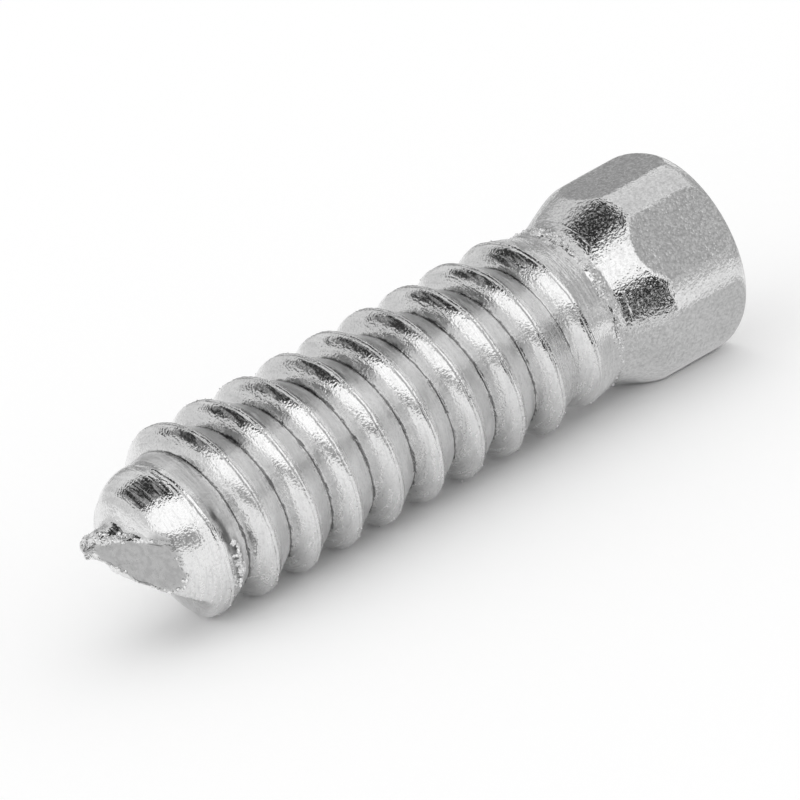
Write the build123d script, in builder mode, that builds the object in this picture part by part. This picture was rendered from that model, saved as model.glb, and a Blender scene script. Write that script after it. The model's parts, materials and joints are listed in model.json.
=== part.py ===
from build123d import *
from math import asin, atan2, ceil, cos, pi, radians, sin, sqrt, tan
import os

# Tyre stud screw: one cold-formed steel piece. A coarse right-hand tapping thread is rolled on a
# round shank with a blunt nose, sheared to an off-centre point. A short plain neck joins it to a
# hexagonal driving head with rounded corners. It lies on one flat of its head and one thread
# crest, with its nose towards -X. Lengths are in millimetres and angles in degrees. Heights are
# measured along the screw from its point. Angles about its axis are measured from its uppermost
# line, right-handed towards the head.

# Head
overall_length = 20.15
head_length = 4.03
underside_length = 1.68
underside_flare = 0.4
across_flats = 5.48
corner_trim = 0.52
end_round_radius = 0.85
end_round_arc = 40

# Neck
neck_diameter = 4.67
neck_length = 0.52

# Thread
thread_diameter = 5.3
core_diameter = 4.22
pitch = 1.4
crest_phase = 0.69
tip_flank_length = 0.44
flank_bulge_share = 0.45
flank_bulge_height = 0.64
crest_width = 0.12
thread_start_z = 1.95
full_thread_z = 2.95
thread_start_power = 0.5
runout_length = 1.4
runout_clearance = 0.27
runout_power = 1.5
runout_step = 0.12
groove_clearance = 0.1
points_per_turn = 8

# Nose
tip_radius = 0.25
tip_offset = 0.7
tip_offset_angle = -23.5
point_radius = 0.6
point_length = 0.75
lean_end_z = 1.1
lean_power = 2
nose_radius = 1.9
nose_z = 2.1
core_z = 3.4
seam_angle = 245
seam_clearance = 0.02
last_turn_share = 0.12
facet_angle = 108
facet_tilt = 38
facet_reach = 0.3
facet_z = 0.85
facet_end_z = 1.85

# Values that follow
crest_radius = thread_diameter / 2
core_radius = core_diameter / 2
crest_height = crest_radius - core_radius
neck_radius = neck_diameter / 2
flat_distance = across_flats / 2
corner_radius = flat_distance / cos(pi / 6) - corner_trim / 2
neck_end_z = overall_length - head_length
neck_z = neck_end_z - neck_length
runout_end_z = neck_end_z - runout_clearance
runout_z = runout_end_z - runout_length

# The underside of the head is an S-curve from the neck to the corners. The flats start where its
# radius, a smooth step, reaches theirs
flat_share = (flat_distance - neck_radius) / (corner_radius - neck_radius)
flat_step = 1 / 2 - sin(asin(1 - 2 * flat_share) / 3)
flat_start_z = (
    neck_end_z
    + underside_flare * 3 * flat_step * (1 - flat_step) ** 2
    + (underside_length - underside_flare) * 3 * flat_step**2 * (1 - flat_step)
    + underside_length * flat_step**3
)

# One turn of the thread's outline, from its root towards the next one: how far along the axis
# each corner lies, and its height as a share of the full thread
outline = [
    (0, 0),
    (tip_flank_length * flank_bulge_share, flank_bulge_height),
    (tip_flank_length, 1),
    (tip_flank_length + crest_width, 1),
]
crest_middle = tip_flank_length + crest_width / 2

# The thread starts and ends at whole and part turns from the seam. Its root goes on for one
# more turn, which closes up to the neck
seam_crest_z = crest_phase + pitch * seam_angle / 360
seam_z = lean_end_z + seam_clearance
first_root_z = seam_crest_z - crest_middle + pitch * ceil((seam_z - seam_crest_z + crest_middle) / pitch)
whole_turns = int((runout_end_z - crest_middle - first_root_z) / pitch - last_turn_share)
turn_count = whole_turns + last_turn_share
last_root_z = first_root_z + turn_count * pitch
closing_pitch = neck_end_z - groove_clearance - last_root_z
arcs = [
    arc
    for turn in range(whole_turns + 1)
    for arc in ((turn, turn + last_turn_share), (turn + last_turn_share, turn + 1))
] + [(whole_turns + 1, turn_count + 1)]
arcs_per_turn = 2

# Rest: the head lies on a flat, and the first full crest under the axis touches the ground
lowest_crest_z = crest_phase + pitch / 2
turns_to_full_crest = ceil((full_thread_z - lowest_crest_z) / pitch)
rest_crest_z = lowest_crest_z + turns_to_full_crest * pitch
lie_angle = atan2(flat_distance - crest_radius, flat_start_z - rest_crest_z)
point_height = crest_radius * cos(lie_angle) - rest_crest_z * sin(lie_angle)
screw = Plane(
    origin=(-overall_length * cos(lie_angle) / 2, 0, point_height),
    x_dir=(-sin(lie_angle), 0, cos(lie_angle)),
    z_dir=(cos(lie_angle), 0, sin(lie_angle)),
)
section = Plane(origin=screw.origin, x_dir=screw.x_dir, z_dir=-screw.y_dir)


def at(radius, angle, z):
    """Point at a radius, an angle in radians and a height of the screw, in the model's frame."""
    return screw.from_local_coords(Vector(radius * cos(angle), radius * sin(angle), z))


def leaning_plane(z):
    """Plane across the screw at height z, centred on its leaning point."""
    offset = tip_offset * (1 - (z / lean_end_z) ** lean_power)
    return Plane(origin=at(offset, radians(tip_offset_angle), z), x_dir=screw.x_dir, z_dir=screw.z_dir)


def blank_radius(z):
    """Radius under the thread at height z: the domed nose, the core and the rise to the neck."""
    if z < nose_z:
        left = (nose_z - z) / (nose_z - point_length)
        return point_radius + (nose_radius - point_radius) * sqrt(1 - left**2)
    grown = min((z - nose_z) / (core_z - nose_z), 1)
    core = core_radius - (core_radius - nose_radius) * (1 - grown) ** 2
    rise = min(max((z - runout_z) / (neck_z - runout_z), 0), 1)
    return core + (neck_radius - core_radius) * sin(pi / 2 * rise)


def thread_share(z):
    """Share of the full thread height reached at height z: it grows on the nose and runs out."""
    grown = min(max((z - thread_start_z) / (full_thread_z - thread_start_z), 0), 1) ** thread_start_power
    left = min(max((runout_end_z - z) / (runout_end_z - runout_z), 0), 1) ** runout_power
    return grown * (runout_step + (1 - runout_step) * left)


def outline_point(corner, turns):
    """Point of a corner of the outline after some turns from the seam."""
    along, height_share = outline[corner]
    root_z = first_root_z + pitch * min(turns, turn_count) + closing_pitch * max(turns - turn_count, 0)
    height = crest_height * height_share * thread_share(root_z + crest_middle)
    z = root_z + along
    return at(blank_radius(z) + height, radians(seam_angle) + 2 * pi * turns, z)


def outline_curve(corner, start, end):
    """Helical edge that a corner of the outline follows between two counts of turns."""
    steps = max(round((end - start) * points_per_turn), 2)
    points = [outline_point(corner, start + (end - start) * count / steps) for count in range(steps + 1)]
    nudge = 0.1 / points_per_turn
    tangents = [
        outline_point(corner, turns + nudge) - outline_point(corner, turns - nudge) for turns in (start, end)
    ]
    return Spline(points, tangents=tangents, tangent_scalars=(1, 1), mode=Mode.PRIVATE).edge()


def ring_arc(plane, radius, start, end):
    """Arc of a ring about a plane's own axis between two counts of turns from the seam."""
    first_angle = seam_angle + 360 * start
    return CenterArc((0, 0), radius, first_angle, 360 * (end - start), mode=Mode.PRIVATE).edge().moved(
        plane.location
    )


def meridian_face(points):
    """Flat face through a closed row of points."""
    with BuildLine() as border:
        Polyline(points, close=True)
    return Face(border.wires()[0])


# Threaded shank: strips between neighbouring helical edges, closed by the leaning point at one
# end and by a disc inside the neck at the other
curves = [[outline_curve(corner, start, end) for start, end in arcs] for corner in range(len(outline))]
root_curves = curves[0]
rows = [row[:-arcs_per_turn] for row in curves] + [root_curves[arcs_per_turn:]]
shank_faces = [
    Face.make_surface_from_curves(lower, upper)
    for lower_row, upper_row in zip(rows, rows[1:])
    for lower, upper in zip(lower_row, upper_row)
]

point_rings = [
    [ring_arc(leaning_plane(z), radius, start, end) for start, end in arcs[:arcs_per_turn]]
    for z, radius in ((0, tip_radius), (point_length, point_radius), (lean_end_z, blank_radius(lean_end_z)))
]
neck_arcs = [
    ring_arc(screw.offset(neck_end_z), neck_radius, start, end) for start, end in arcs[-arcs_per_turn:]
]
nose_rows = point_rings + [root_curves[:arcs_per_turn]]
end_rows = [root_curves[-arcs_per_turn:], neck_arcs]
shank_faces += [
    Face.make_surface_from_curves(lower, upper)
    for lower_row, upper_row in [*zip(nose_rows, nose_rows[1:]), end_rows]
    for lower, upper in zip(lower_row, upper_row)
]

first_profile = [outline_point(corner, 0) for corner in range(len(outline))] + [outline_point(0, 1)]
last_profile = [outline_point(0, turn_count + 1), neck_arcs[0] @ 0]
last_profile += [outline_point(corner, turn_count) for corner in range(len(outline))]
shank_faces += [
    meridian_face(first_profile),
    meridian_face([point_rings[-1][0] @ 0, first_profile[0], first_profile[-1]]),
    meridian_face(last_profile),
    Face(Wire(point_rings[0])),
    Face(Wire(neck_arcs)),
]

# Sheared facet: it rises towards the head from below the point and ends at a wall in the thread
facet_side = at(1, radians(facet_angle), 0) - screw.origin
facet_section = Plane(origin=screw.origin, x_dir=facet_side, z_dir=facet_side.cross(screw.z_dir))
facet_slope = tan(radians(facet_tilt))
facet_end_reach = facet_reach + (facet_end_z - facet_z) * facet_slope
facet_low_reach = facet_end_reach - (facet_end_z + tip_radius) * facet_slope

with BuildPart() as stud_screw:
    # Head: flared underside, round barrel and rounded end edge, turned in one profile
    with BuildSketch(section):
        with BuildLine():
            underside = Bezier(
                (neck_radius, neck_end_z),
                (neck_radius, neck_end_z + underside_flare),
                (corner_radius, neck_end_z + underside_length - underside_flare),
                (corner_radius, neck_end_z + underside_length),
            )
            end_round_z = overall_length - end_round_radius * sin(radians(end_round_arc))
            barrel = Line(underside @ 1, (corner_radius, end_round_z))
            end_round = JernArc(barrel @ 1, (0, 1), end_round_radius, end_round_arc)
            Polyline(end_round @ 1, (0, overall_length), (0, neck_end_z), underside @ 0)
        make_face()
    revolve(axis=Axis(screw.origin, screw.z_dir))

    # Six wrench flats leave rounded corners between them
    with BuildSketch(screw.offset(neck_end_z)):
        Circle(across_flats)
        RegularPolygon(flat_distance, 6, major_radius=False, rotation=30, mode=Mode.SUBTRACT)
    extrude(amount=overall_length, mode=Mode.SUBTRACT)

    # Threaded shank, with the facet where its point was sheared off
    add(Solid(Shell(shank_faces)))
    with BuildSketch(facet_section):
        with BuildLine():
            Polyline(
                (facet_low_reach, -tip_radius),
                (facet_end_reach, facet_end_z),
                (crest_radius, facet_end_z),
                (crest_radius, -tip_radius),
                close=True,
            )
        make_face()
    extrude(amount=crest_radius, both=True, mode=Mode.SUBTRACT)

stud_screw.part.label = "stud_screw"
os.makedirs("parts", exist_ok=True)
export_step(stud_screw.part, "parts/stud_screw.step")
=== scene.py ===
"""Dresses the tyre stud screw.

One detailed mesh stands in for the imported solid, with its plated finish, a floor, reflection cards and a
camera.
"""

import json
import logging
import math
from dataclasses import dataclass, field
from enum import Enum
from itertools import combinations
from typing import Any, Dict, List, Optional, Sequence, Tuple, Union

import bpy
import numpy as np
from mathutils import Matrix, Vector


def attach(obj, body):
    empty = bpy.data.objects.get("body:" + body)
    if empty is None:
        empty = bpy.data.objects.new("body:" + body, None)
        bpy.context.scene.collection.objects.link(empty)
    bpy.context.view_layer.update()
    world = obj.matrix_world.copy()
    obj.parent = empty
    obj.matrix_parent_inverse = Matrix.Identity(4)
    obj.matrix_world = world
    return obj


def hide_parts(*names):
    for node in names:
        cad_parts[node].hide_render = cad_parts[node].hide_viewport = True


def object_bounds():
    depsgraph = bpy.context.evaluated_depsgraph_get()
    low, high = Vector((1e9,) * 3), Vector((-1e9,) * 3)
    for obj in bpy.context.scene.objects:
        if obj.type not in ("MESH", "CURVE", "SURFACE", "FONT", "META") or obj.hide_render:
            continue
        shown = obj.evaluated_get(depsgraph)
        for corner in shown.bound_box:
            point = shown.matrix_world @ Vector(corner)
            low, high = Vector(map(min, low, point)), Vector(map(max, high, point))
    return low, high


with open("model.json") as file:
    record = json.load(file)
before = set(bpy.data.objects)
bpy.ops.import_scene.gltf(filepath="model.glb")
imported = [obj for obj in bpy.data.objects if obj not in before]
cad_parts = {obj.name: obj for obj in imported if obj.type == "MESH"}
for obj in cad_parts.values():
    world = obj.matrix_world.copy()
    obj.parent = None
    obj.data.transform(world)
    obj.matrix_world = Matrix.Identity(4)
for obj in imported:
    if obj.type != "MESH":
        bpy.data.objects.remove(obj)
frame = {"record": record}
CAD_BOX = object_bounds()

LOG = logging.getLogger("stud_screw")
MM = 0.001
# root carries painted shade; back marks the flanks that get painted shade as well as roughness.
MARKS = ("crest", "back", "root", "shear", "rim", "head", "chip")

Number = Union[int, float]
Grid = np.ndarray
Place = Tuple[float, float, float]
Colour = Tuple[float, float, float, float]


# Shader tools


class Socket:
    """A node's output socket whose arithmetic adds Math nodes."""

    def __init__(self, shader: "Shader", output: Optional[bpy.types.NodeSocket]) -> None:
        """Wraps a socket.

        Args:
            shader: the tree the socket is in.
            output: the wrapped output socket, or None for a node that has none.
        """
        self.shader = shader
        self.output = output

    def _math(self, operation: str, *values: Union["Socket", Number]) -> "Socket":
        """Adds one Math node.

        Args:
            operation: the node's operation.
            values: its inputs, sockets or numbers.

        Returns:
            The node's output.
        """
        return self.shader.add("ShaderNodeMath", {"operation": operation}, dict(enumerate(values)))

    def __add__(self, other: Union["Socket", Number]) -> "Socket":
        """Sum."""
        return self._math("ADD", self, other)

    __radd__ = __add__

    def __sub__(self, other: Union["Socket", Number]) -> "Socket":
        """Difference."""
        return self._math("SUBTRACT", self, other)

    def __rsub__(self, other: Number) -> "Socket":
        """Difference from a number."""
        return self._math("SUBTRACT", other, self)

    def __mul__(self, other: Union["Socket", Number]) -> "Socket":
        """Product."""
        return self._math("MULTIPLY", self, other)

    __rmul__ = __mul__

    def between(self, low: Number, high: Number) -> "Socket":
        """Share of the way from low to high, smoothed and kept between 0 and 1.

        Args:
            low: value that gives 0.
            high: value that gives 1.

        Returns:
            The share.
        """
        values = {"Value": self, "From Min": low, "From Max": high}
        return self.shader.add("ShaderNodeMapRange", {"interpolation_type": "SMOOTHSTEP"}, values)


class Shader:
    """Builds one node tree."""

    def __init__(self, tree: bpy.types.NodeTree) -> None:
        """Empties a tree to build in.

        Args:
            tree: the material's or world's node tree.
        """
        self.tree = tree
        tree.nodes.clear()

    def add(
        self,
        kind: str,
        settings: Optional[Dict[str, Any]] = None,
        inputs: Optional[Dict[Union[int, str], Any]] = None,
        output: Union[int, str] = 0,
    ) -> Socket:
        """Adds one node.

        Args:
            kind: the node's type.
            settings: its properties, set first.
            inputs: values or links by socket name or number.
            output: which output to return.

        Returns:
            The chosen output, or one that stands for the node where it has none.
        """
        node = self.tree.nodes.new(kind)
        for name, value in (settings or {}).items():
            setattr(node, name, value)
        for name, value in (inputs or {}).items():
            target = node.inputs[name]
            if isinstance(value, Socket):
                self.tree.links.new(value.output, target)
            else:
                target.default_value = value
        return Socket(self, node.outputs[output] if len(node.outputs) else None)

    def attribute(self, name: str) -> Socket:
        """Value of a mesh attribute.

        Args:
            name: the attribute's name.

        Returns:
            Its factor output.
        """
        return self.add("ShaderNodeAttribute", {"attribute_name": name}, output="Fac")

    def noise(self, place: Socket, scale: Number, detail: Number = 3.0, rough: Number = 0.55) -> Socket:
        """Cloudy noise.

        Args:
            place: the coordinates.
            scale: how many waves fit in a metre.
            detail: octaves.
            rough: weight of the finer octaves.

        Returns:
            Its factor output.
        """
        values = {"Vector": place, "Scale": scale, "Detail": detail, "Roughness": rough}
        return self.add("ShaderNodeTexNoise", None, values, "Fac")

    def stretched(self, place: Socket, scale: Place) -> Socket:
        """Coordinates stretched by axis.

        Args:
            place: the coordinates.
            scale: the factor on each axis.

        Returns:
            The stretched coordinates.
        """
        return self.add("ShaderNodeVectorMath", {"operation": "MULTIPLY"}, {0: place, 1: scale})

    def mix_colour(self, share: Union[Socket, Number], first: Any, second: Any) -> Socket:
        """Blend of two colours.

        Args:
            share: 0 for the first colour and 1 for the second.
            first: colour or socket.
            second: colour or socket.

        Returns:
            The blended colour.
        """
        return self.add("ShaderNodeMix", {"data_type": "RGBA"}, {0: share, 6: first, 7: second}, 2)


def new_material(name: str) -> Tuple[bpy.types.Material, Shader]:
    """Makes an empty node material.

    Args:
        name: the material's name.

    Returns:
        The material and the shader that builds its tree.
    """
    made = bpy.data.materials.new(name)
    made.use_nodes = True
    return made, Shader(made.node_tree)


# Noise and forms for the mesh


@dataclass(frozen=True)
class Ripple:
    """Smooth noise over the screw's surface that closes on itself round the axis.

    It has a number of cells round the axis, a length in millimetres for those along it, and a seed.
    """

    around: int
    spacing: float
    seed: int
    reach: float = 26.0

    def at(self, angle: Grid, height: Grid) -> Grid:
        """Noise at places on the surface.

        Args:
            angle: degrees round the axis.
            height: millimetres along the axis.

        Returns:
            Noise from -1 to 1.
        """
        along = int(self.reach / self.spacing) + 6
        values = np.random.default_rng(self.seed).uniform(-1.0, 1.0, (along, self.around))
        across = np.mod(angle / 360.0, 1.0) * self.around
        up = np.clip(height / self.spacing + 2.0, 0.0, along - 1.001)
        i0, j0 = np.floor(across).astype(int), np.floor(up).astype(int)
        fi, fj = across - i0, up - j0
        fi, fj = fi * fi * (3 - 2 * fi), fj * fj * (3 - 2 * fj)
        i0 = i0 % self.around
        i1 = (i0 + 1) % self.around
        low = values[j0, i0] * (1 - fi) + values[j0, i1] * fi
        high = values[j0 + 1, i0] * (1 - fi) + values[j0 + 1, i1] * fi
        return low * (1 - fj) + high * fj


@dataclass(frozen=True)
class Grain:
    """Smooth noise in space, with cells of one size in millimetres and a seed."""

    cell: float
    seed: int
    table: int = 4096
    strides: Tuple[int, int, int] = (7919, 3571, 1597)

    def at(self, points: Grid) -> Grid:
        """Noise at points.

        Args:
            points: rows of three coordinates.

        Returns:
            Noise from -1 to 1.
        """
        values = np.random.default_rng(self.seed).uniform(-1.0, 1.0, self.table)
        base = np.floor(points / self.cell).astype(np.int64)
        part = points / self.cell - base
        part = part * part * (3 - 2 * part)
        total = np.zeros(points.shape[:-1])
        for corner in ((i, j, k) for i in (0, 1) for j in (0, 1) for k in (0, 1)):
            chosen = values[((base + np.array(corner)) @ np.array(self.strides)) % self.table]
            total += chosen * np.prod(np.where(np.array(corner) == 1, part, 1 - part), axis=-1)
        return total


def step(value: Grid, low: float, high: float) -> Grid:
    """Smooth step from 0 at low to 1 at high.

    Args:
        value: what is tested.
        low: where the step starts.
        high: where it ends.

    Returns:
        The step's share.
    """
    share = np.clip((value - low) / (high - low), 0.0, 1.0)
    return share * share * (3 - 2 * share)


def hump(value: Grid, centre: Any, width: float) -> Grid:
    """Rounded hump of height 1.

    Args:
        value: where it is evaluated.
        centre: where it is highest.
        width: distance at which it has fallen to a third.

    Returns:
        The hump's height.
    """
    return np.exp(-(((value - centre) / width) ** 2))


def away_from(angle: Grid, middle: float) -> Grid:
    """Signed degrees from one angle to others, the short way round.

    Args:
        angle: degrees round the axis.
        middle: the angle that gives 0.

    Returns:
        Degrees from -180 to 180.
    """
    return np.mod(angle - middle + 180, 360) - 180


def quads(index: Grid) -> Grid:
    """Four-sided faces between the rows and columns of a grid.

    Args:
        index: the grid's point numbers.

    Returns:
        Rows of four point numbers.
    """
    low, high = index[:-1], index[1:]
    return np.stack([low[:, :-1], low[:, 1:], high[:, 1:], high[:, :-1]], axis=-1).reshape(-1, 4)


def without_repeats(face: Sequence[int]) -> List[int]:
    """The corners of a face, each once and in order."""
    return list(dict.fromkeys(face))


GOLD = (1 + math.sqrt(5)) / 2
CHIP_CORNERS = np.array([(0, a, b) for a in (-1, 1) for b in (-GOLD, GOLD)]
                        + [(a, b, 0) for a in (-1, 1) for b in (-GOLD, GOLD)]
                        + [(b, 0, a) for a in (-1, 1) for b in (-GOLD, GOLD)]) / math.hypot(1, GOLD)
CHIP_SIDE = 2 / math.hypot(1, GOLD)


def chip_faces() -> List[Tuple[int, int, int]]:
    """The twenty triangles between the corners of a chip, turned outwards.

    Returns:
        Each one's three corner numbers.
    """
    faces = []
    for a, b, c in combinations(range(len(CHIP_CORNERS)), 3):
        first, second, third = CHIP_CORNERS[a], CHIP_CORNERS[b], CHIP_CORNERS[c]
        sides = [np.linalg.norm(side) for side in (first - second, second - third, first - third)]
        if max(sides) < 1.2 * CHIP_SIDE:
            outward = np.dot(np.cross(second - first, third - first), first) > 0
            faces.append((a, b, c) if outward else (a, c, b))
    return faces


# The screw


@dataclass
class Axes:
    """Where the screw lies: its point, its axis and the directions that angles are measured from."""

    length: float
    along: Vector = field(init=False)
    up: Vector = field(init=False)
    side: Vector = field(init=False)
    point: Vector = field(init=False)

    def __post_init__(self) -> None:
        """Reads the head end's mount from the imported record."""
        mount = next(m for m in frame["record"]["mounts"] if m["name"] == "head_end")
        self.along = Vector(mount["axis"]).normalized()
        self.side = Vector((0.0, -1.0, 0.0))
        self.up = self.side.cross(self.along).normalized()
        self.point = Vector(mount["pos_m"]) - self.along * self.length * MM

    def radial(self, degrees: float) -> Vector:
        """Direction away from the axis at an angle from the uppermost line."""
        turn = math.radians(degrees)
        return self.up * math.cos(turn) + self.side * math.sin(turn)

    def world(self, points: Grid) -> Grid:
        """Points in metres from millimetres along up, side and the axis.

        Args:
            points: rows of the three distances, measured from the screw's point.

        Returns:
            Rows of three coordinates.
        """
        total = np.zeros(points.shape) + np.array(self.point)
        for number, direction in enumerate((self.up, self.side, self.along)):
            total += points[..., number, None] * MM * np.array(direction)
        return total


@dataclass
class Thread:
    """The rolled thread: its form over one pitch and how it grows and runs out.

    Lengths are in millimetres.
    """

    pitch: float = 1.4
    crest_radius: float = 2.65
    core_radius: float = 2.11
    crest_phase: float = 0.69
    tip_flank: float = 0.44
    crest_width: float = 0.12
    flank_power: float = 1.7
    back_bulge: float = 0.12
    start_z: float = 1.95
    full_z: float = 2.95
    start_power: float = 0.5
    runout_z: float = 14.45
    runout_end_z: float = 15.95
    runout_power: float = 1.5
    runout_step: float = 0.12
    wander_heights: Tuple[float, float] = (0.018, 0.010)
    wander_reach: float = 0.3

    def depth(self) -> float:
        """Height of the full thread over its core."""
        return self.crest_radius - self.core_radius

    def crest_offset(self) -> float:
        """Distance from the root to the middle of the crest."""
        return self.tip_flank + self.crest_width / 2

    def share(self, crest_z: Grid) -> Grid:
        """Share of the full height reached.

        Args:
            crest_z: height of the crest along the screw.

        Returns:
            Share from 0 to 1.
        """
        grown = np.clip((crest_z - self.start_z) / (self.full_z - self.start_z), 0, 1) ** self.start_power
        left = np.clip((self.runout_end_z - crest_z) / (self.runout_end_z - self.runout_z), 0, 1)
        faded = self.runout_step + (1 - self.runout_step) * left**self.runout_power
        return grown * faded * step(left, 0, 0.05)

    def bent(self, past_root: Grid, angle: Grid, crest_z: Grid) -> Grid:
        """Places over the pitch on a crest that wanders to and fro.

        Args:
            past_root: distance past the root.
            angle: degrees round the axis.
            crest_z: height of the crest along the screw.

        Returns:
            Distances past the root that the straight form would have there.
        """
        coarse, fine = Ripple(24, self.pitch / 2, 3), Ripple(90, 0.7, 4)
        high, low = self.wander_heights
        wander = high * coarse.at(angle, crest_z) + low * fine.at(angle, crest_z)
        reach = hump(past_root, self.crest_offset(), self.wander_reach)
        return np.clip(past_root + wander * reach, 0, self.pitch)

    def form(self, past_root: Grid) -> Grid:
        """Height over one pitch as a share of the full thread.

        Args:
            past_root: distance past the root, towards the head.

        Returns:
            Share from 0 to 1.
        """
        rise = 1 - np.clip(1 - past_root / self.tip_flank, 0, 1) ** self.flank_power
        back_flank = self.pitch - self.tip_flank - self.crest_width
        back = np.clip((past_root - self.tip_flank - self.crest_width) / back_flank, 0, 1)
        fall = 1 - back * (1 + self.back_bulge * (1 - back))
        return np.where(past_root < self.tip_flank + self.crest_width, rise, fall)


@dataclass
class Winding:
    """The shank's helical grid, with a row for each place over a pitch and a column for each angle.

    Lengths are in millimetres and angles in degrees. The nominal height runs on past the point and the neck,
    where z stops, and bent is the place over the pitch that the wandering thread has there. Each feature of
    the shank carves the radius, adds its marks for the finish, and adds the spots where it may carry chips.
    """

    thread: Thread
    neck_z: float
    past_root: Grid
    turn: Grid
    angle: Grid
    nominal: Grid
    crest_z: Grid
    z: Grid
    share: Grid
    bent: Grid
    radius: Grid
    marks: Dict[str, Grid] = field(default_factory=dict)
    spots: Dict[str, Grid] = field(default_factory=dict)

    def run(self) -> Grid:
        """Degrees wound since the first turn."""
        return 360.0 * self.turn + self.angle


@dataclass(frozen=True)
class CrestMarks:
    """The doubled line that rolling leaves along the crest, and a folded line on each flank."""

    ridge_offset: float = 0.06
    offset_wander: float = 0.012
    offset_ripple: Ripple = Ripple(40, 0.7, 6)
    bead_ripple: Ripple = Ripple(220, 1.7, 5)
    ridge_height: float = 0.019
    ridge_widths: Tuple[float, float] = (0.020, 0.022)
    back_ridge: float = 0.8
    valley_depth: float = 0.026
    valley_width: float = 0.022
    back_fold_past_seam: float = 0.33
    back_fold_depth: float = 0.012
    back_fold_ripples: Tuple[Ripple, Ripple] = (Ripple(30, 0.7, 7), Ripple(60, 0.7, 8))
    tip_fold_past_root: float = 0.16
    tip_fold_depth: float = 0.008
    tip_fold_ripples: Tuple[Ripple, Ripple] = (Ripple(26, 0.7, 17), Ripple(50, 0.7, 18))
    fold_wander: float = 0.02
    fold_width: float = 0.02
    shine_width: float = 0.11
    # Width and strength of the painted shade down the seam.
    shade_width: float = 0.018
    painted_shade: float = 0.75

    def carve(self, wound: Winding) -> None:
        """Raises two beaded ridges beside the seam, sinks the seam between them and scores the folds.

        Args:
            wound: the shank's grid.
        """
        angle, crest_z, bent, share = wound.angle, wound.crest_z, wound.bent, wound.share
        seam, run = wound.thread.crest_offset(), wound.run()
        beads = 0.55 + 0.45 * self.bead_ripple.at(run, crest_z * 0 + wound.turn * self.bead_ripple.spacing)
        offset = self.ridge_offset + self.offset_wander * self.offset_ripple.at(angle, crest_z)
        near, far = self.ridge_widths
        ridges = hump(bent, seam - offset, near) + self.back_ridge * hump(bent, seam + offset, far)
        wound.radius += share * self.ridge_height * ridges * beads
        wound.radius -= share * self.valley_depth * hump(bent, seam, self.valley_width) * (0.6 + 0.4 * beads)
        wander, strength = self.back_fold_ripples
        place = seam + self.back_fold_past_seam + self.fold_wander * wander.at(angle, crest_z)
        fold = hump(bent, place, self.fold_width)
        wound.radius -= share * self.back_fold_depth * fold * (0.7 + 0.3 * strength.at(run, crest_z))
        wander, strength = self.tip_fold_ripples
        place = self.tip_fold_past_root + self.fold_wander * wander.at(angle, crest_z)
        fold = hump(bent, place, self.fold_width)
        wound.radius -= share * self.tip_fold_depth * fold * (0.5 + 0.5 * strength.at(run, crest_z))
        doubled = hump(bent, seam - offset, near) + hump(bent, seam + offset, near)
        wound.spots["crest"] = share * doubled * np.clip(beads, 0, 1) ** 3
        wound.marks["crest"] = share * hump(bent, seam, self.shine_width)
        # Painted shade: a dark line down the seam between the ridges.
        wound.marks["seam"] = self.painted_shade * share * hump(bent, seam, self.shade_width) * beads


@dataclass(frozen=True)
class RootMarks:
    """The ragged line along the thread's root, with scraps folded over it, and the duller flank above it;
    both carry painted shade.
    """

    fine_wander: float = 0.012
    fine_ripple: Ripple = Ripple(160, 0.35, 9)
    coarse_wander: float = 0.010
    coarse_ripple: Ripple = Ripple(48, 0.35, 10)
    depth: float = 0.030
    width: float = 0.016
    lip_height: float = 0.030
    lip_offset: float = 0.045
    lip_width: float = 0.022
    lip_ripple: Ripple = Ripple(110, 0.3, 11)
    lip_least: float = 0.25
    starts: Tuple[float, float] = (2.9, 3.7)
    # Width of the painted shade along the root line.
    shade_width: float = 0.022
    chip_width: float = 0.03
    back_starts: Tuple[float, float] = (0.08, 0.30)
    back_ends: float = 0.16

    def carve(self, wound: Winding) -> None:
        """Sinks the root line, folds scraps over it, marks painted shade along the root line and marks the
        flank between the crest and the root.

        Args:
            wound: the shank's grid.
        """
        angle, nominal, bent, pitch = wound.angle, wound.nominal, wound.bent, wound.thread.pitch
        ragged = self.fine_wander * self.fine_ripple.at(angle, nominal)
        ragged = ragged + self.coarse_wander * self.coarse_ripple.at(angle, nominal)
        from_root = np.where(wound.past_root < pitch / 2, wound.past_root, wound.past_root - pitch)
        groove = hump(from_root, ragged, self.width)
        scraps = np.clip(self.lip_ripple.at(angle, nominal) - self.lip_least, 0, 1)
        lip = scraps * hump(from_root, ragged - self.lip_offset, self.lip_width)
        alive = self.alive(wound)
        wound.radius -= alive * self.depth * groove
        wound.radius += alive * self.lip_height * lip
        seam = wound.thread.crest_offset()
        behind = step(bent, seam + self.back_starts[0], seam + self.back_starts[1])
        wound.spots["root"] = alive * hump(from_root, ragged, self.chip_width) * 0.3
        # The back flank is rougher, and its colour is darkened as painted shade.
        wound.marks["back"] = alive * behind * (1 - step(bent, pitch - self.back_ends, pitch))
        # Painted shade: this mark darkens the colour along the root line.
        wound.marks["root"] = alive * hump(from_root, ragged, self.shade_width)

    def alive(self, wound: Winding) -> Grid:
        """How fully the thread stands over each root.

        Args:
            wound: the shank's grid.

        Returns:
            Share from 0 to 1.
        """
        thread = wound.thread
        crest_z = np.where(wound.past_root < thread.pitch / 2, wound.crest_z, wound.crest_z + thread.pitch)
        return np.clip(thread.share(crest_z) * 1.3, 0, 1) * step(crest_z, *self.starts)


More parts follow.
